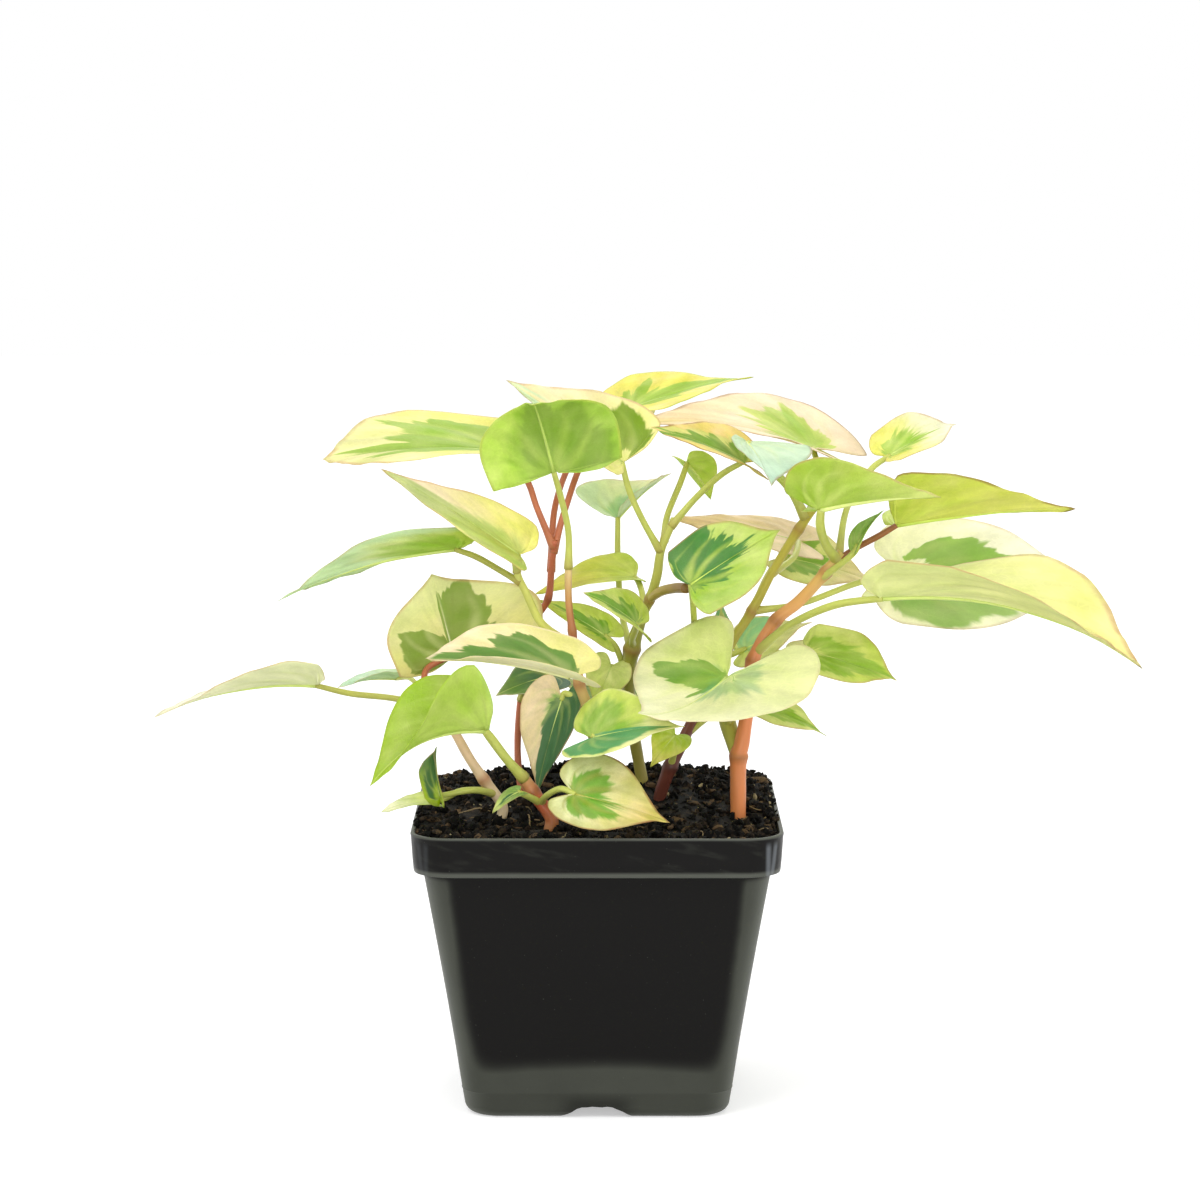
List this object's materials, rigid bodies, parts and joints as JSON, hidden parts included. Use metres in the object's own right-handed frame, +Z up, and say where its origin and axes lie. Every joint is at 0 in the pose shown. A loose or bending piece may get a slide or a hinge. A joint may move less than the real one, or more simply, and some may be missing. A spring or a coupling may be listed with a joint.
{
  "type": "potted houttuynia",
  "caption": "Young variegated houttuynia plant in a square black nursery pot, a small table or garden-room plant that stands on its pot.",
  "frame": {"origin": "middle of the pot's flat underside, on the surface it stands on", "axes": "+Z up, +X to the plant's right and +Y to its back, square to the pot's sides"},
  "size_m": [0.2742, 0.1452, 0.2042],
  "materials": {
    "pot": "moulded black plastic, slightly glossy",
    "potting_mix": "moist peat and composted bark crumbs",
    "stem_red": "soft orange to dark red stem skin",
    "stem_olive": "soft olive to cream stem skin",
    "leaf_variegated": "cream and yellow leaf skin with jagged green middle, satin",
    "leaf_green": "green leaf skin with raised veins, satin"
  },
  "bodies": {
    "root": {"pot": "pot", "soil": "potting_mix", "stem_right_main": "stem_red", "stem_right_second": "stem_olive", "stem_centre_left": "stem_olive", "stem_left_branch": "stem_olive", "stem_red_back": "stem_red", "stem_centre": "stem_olive", "stem_centre_stub": "stem_olive", "stem_dark_low": "stem_red", "stem_left_low": "stem_olive", "stem_front_short": "stem_red", "leaf_crown_far_left": "leaf_variegated", "leaf_crown_front": "leaf_green", "leaf_crown_top": "leaf_variegated", "leaf_crown_back": "leaf_variegated", "leaf_crown_right": "leaf_variegated", "leaf_crown_striped": "leaf_variegated", "leaf_right_upper": "leaf_green", "leaf_crown_mint": "leaf_variegated", "leaf_right_top": "leaf_variegated", "leaf_right_yellow": "leaf_variegated", "leaf_right_back": "leaf_variegated", "leaf_right_large": "leaf_variegated", "leaf_unfolding": "leaf_green", "leaf_right_low": "leaf_variegated", "leaf_right_lowest": "leaf_variegated", "leaf_right_inner": "leaf_variegated", "leaf_left_upper": "leaf_variegated", "leaf_left_middle": "leaf_variegated", "leaf_left_low": "leaf_variegated", "leaf_left_broad": "leaf_variegated", "leaf_left_mint": "leaf_variegated", "leaf_boat": "leaf_variegated", "leaf_left_front": "leaf_green", "leaf_centre_back": "leaf_variegated", "leaf_centre": "leaf_green", "leaf_centre_right": "leaf_variegated", "leaf_heart_large": "leaf_variegated", "leaf_peach_back": "leaf_variegated", "leaf_mint_back": "leaf_variegated", "leaf_drooping": "leaf_green", "leaf_inner_left": "leaf_variegated", "leaf_inner_low": "leaf_variegated", "leaf_inner_yellow": "leaf_variegated", "leaf_inner_cream": "leaf_variegated", "leaf_inner_narrow": "leaf_green", "leaf_hanging": "leaf_variegated", "leaf_hanging_back": "leaf_green", "leaf_front_low": "leaf_variegated", "leaf_front_soil": "leaf_variegated", "leaf_soil_blade": "leaf_variegated", "leaf_rim_pale": "leaf_variegated", "leaf_rim_curled": "leaf_green", "leaf_behind_top": "leaf_variegated", "leaf_behind_left": "leaf_variegated", "leaf_behind_right": "leaf_variegated", "leaf_behind_low": "leaf_variegated"}
  },
  "joints": []
}
